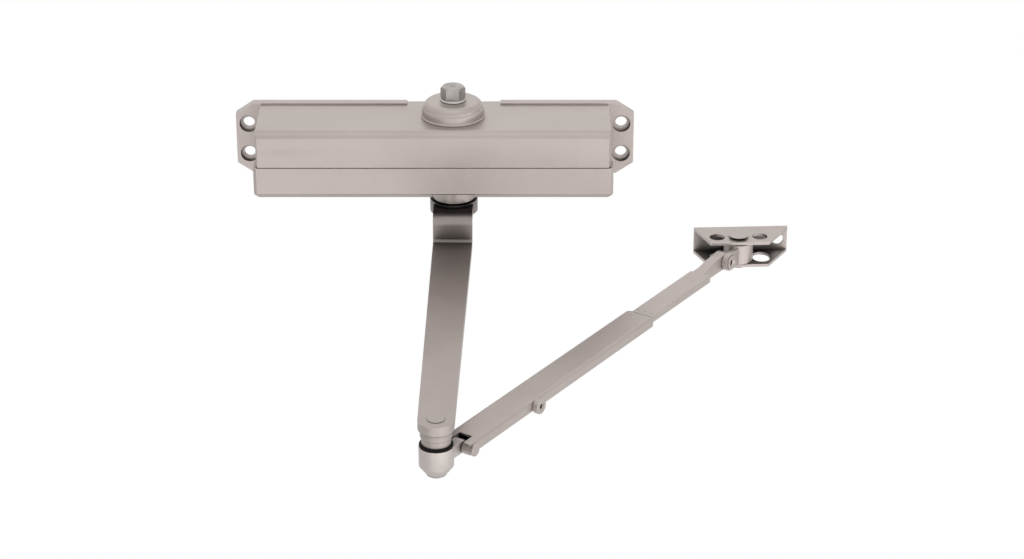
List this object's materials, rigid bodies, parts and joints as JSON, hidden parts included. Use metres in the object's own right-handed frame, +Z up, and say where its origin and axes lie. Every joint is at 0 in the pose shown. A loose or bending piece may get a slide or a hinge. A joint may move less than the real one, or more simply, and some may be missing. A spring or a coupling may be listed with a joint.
{
  "type": "surface mounted door closer",
  "caption": "Surface-mounted hydraulic door closer with a rack and pinion body, a cranked main arm, an adjustable forearm and a swivelling frame shoe.",
  "frame": {"origin": "centre of the body's four fixing holes, on the back face that lies against the door", "axes": "+X to the right along the door, +Y into the door, +Z up along the spindle"},
  "size_m": [0.3348, 0.289, 0.1229],
  "materials": {
    "painted_casting": "sprayed aluminium colour paint on a die casting",
    "painted_steel": "sprayed aluminium colour paint on steel",
    "plated_steel": "zinc plated steel",
    "bare_steel": "ground steel, oiled",
    "spring_steel": "blackened spring steel",
    "black_rubber": "matt black rubber",
    "nylon": "plain nylon",
    "grey_nylon": "grey moulded nylon",
    "valve_brass": "turned brass",
    "plastic_cover": "sprayed aluminium colour paint on a moulded cover"
  },
  "bodies": {
    "housing": {"closer_body": "painted_casting", "left_end_plug": "plated_steel", "right_end_plug": "plated_steel", "end_plug_o_rings": "black_rubber", "upper_bearing_cap": "painted_casting", "bearing_cap_o_ring": "black_rubber", "upper_needle_bearing": "bare_steel", "lower_needle_bearing": "bare_steel", "upper_shaft_seal": "black_rubber", "lower_shaft_seal": "black_rubber", "lower_seal_circlip": "spring_steel", "gallery_plug": "bare_steel", "valve_o_rings": "black_rubber", "closing_spring": "spring_steel"},
    "cover": {"valve_cover": "plastic_cover"},
    "sweep_screw": {"sweep_valve": "valve_brass"},
    "latch_screw": {"latch_valve": "valve_brass"},
    "backcheck_screw": {"backcheck_valve": "valve_brass"},
    "adjuster": {"power_adjuster": "plated_steel", "adjuster_o_ring": "black_rubber"},
    "seat": {"spring_seat": "bare_steel"},
    "piston_group": {"piston": "bare_steel", "piston_ring": "nylon", "check_valve_seat": "valve_brass", "check_valve_ball": "bare_steel", "check_valve_circlip": "spring_steel"},
    "spindle_and_arm": {"pinion_shaft": "bare_steel", "main_arm": "painted_steel", "arm_screw": "plated_steel", "arm_washer": "plated_steel", "elbow_stud": "painted_steel", "elbow_ring": "black_rubber"},
    "knuckle": {"elbow_knuckle": "painted_steel", "elbow_bush": "nylon"},
    "tube": {"forearm_tube": "painted_steel", "tilt_pin": "painted_steel", "rod_guide": "grey_nylon", "clamp_boss": "painted_steel"},
    "set_screw": {"clamp_screw": "plated_steel"},
    "rod": {"forearm_rod": "painted_steel"},
    "block": {"shoe_block": "painted_steel", "shoe_tilt_pin": "painted_steel"},
    "shoe": {"shoe_bracket": "painted_steel", "shoe_rivet": "painted_steel", "shoe_washers": "nylon"}
  },
  "joints": [
    {"name": "spindle_turn", "type": "hinge", "parent": "housing", "child": "spindle_and_arm", "pos_m": [0.0114, -0.024, 0.0005], "axis": [0, 0, 1], "range_deg": [0, 160], "stiffness_Nm_per_rad": 2.1, "springref_deg": -45.84},
    {"name": "piston_travel", "type": "slide", "parent": "housing", "child": "piston_group", "axis": [1, 0, 0], "range_m": [-0.02515, 0], "deforming": ["closing_spring"]},
    {"name": "power_adjust_turn", "type": "hinge", "parent": "housing", "child": "adjuster", "pos_m": [-0.1, -0.024, 0.0005], "axis": [1, 0, 0], "range_deg": [0, 1440]},
    {"name": "spring_seat_travel", "type": "slide", "parent": "housing", "child": "seat", "axis": [1, 0, 0], "range_m": [0, 0.006]},
    {"name": "elbow_swivel", "type": "hinge", "parent": "spindle_and_arm", "child": "knuckle", "pos_m": [0.0068, -0.27746, -0.0716], "axis": [0, 0, 1], "range_deg": [-160, 20]},
    {"name": "forearm_tilt", "type": "hinge", "parent": "knuckle", "child": "tube", "pos_m": [0.01821, -0.26067, -0.0733], "axis": [0.8271, -0.5621, 0], "range_deg": [-6, 5]},
    {"name": "forearm_length", "type": "slide", "parent": "tube", "child": "rod", "axis": [0.562, 0.827, 0.014], "range_m": [-0.028, 0.018]},
    {"name": "shoe_tilt", "type": "hinge", "parent": "rod", "child": "block", "pos_m": [0.1743, -0.03099, -0.06942], "axis": [0.8271, -0.5621, 0], "range_deg": [-8, 8]},
    {"name": "shoe_swivel", "type": "hinge", "parent": "block", "child": "shoe", "pos_m": [0.18414, -0.01651, -0.06862], "axis": [0, 0, 1], "range_deg": [-115, 40]},
    {"name": "clamp_screw_turn", "type": "hinge", "parent": "tube", "child": "set_screw", "pos_m": [0.06015, -0.21675, -0.07246], "axis": [0.8271, -0.5621, 0], "range_deg": [-720, 0]},
    {"name": "sweep_valve_turn", "type": "hinge", "parent": "housing", "child": "sweep_screw", "pos_m": [0.045, -0.044, -0.013], "axis": [0, 1, 0], "range_deg": [-180, 180]},
    {"name": "latch_valve_turn", "type": "hinge", "parent": "housing", "child": "latch_screw", "pos_m": [0.065, -0.044, -0.013], "axis": [0, 1, 0], "range_deg": [-180, 180]},
    {"name": "backcheck_valve_turn", "type": "hinge", "parent": "housing", "child": "backcheck_screw", "pos_m": [-0.07, -0.044, -0.013], "axis": [0, 1, 0], "range_deg": [-180, 180]},
    {"name": "cover_pull", "type": "slide", "parent": "housing", "child": "cover", "axis": [0, -1, 0], "range_m": [0, 0.02]}
  ],
  "couplings": [
    {"joint": "piston_travel", "follows": "spindle_turn", "m_per_rad": -0.009},
    {"joint": "power_adjust_turn", "follows": "spring_seat_travel", "rad_per_m": 4188.8}
  ]
}
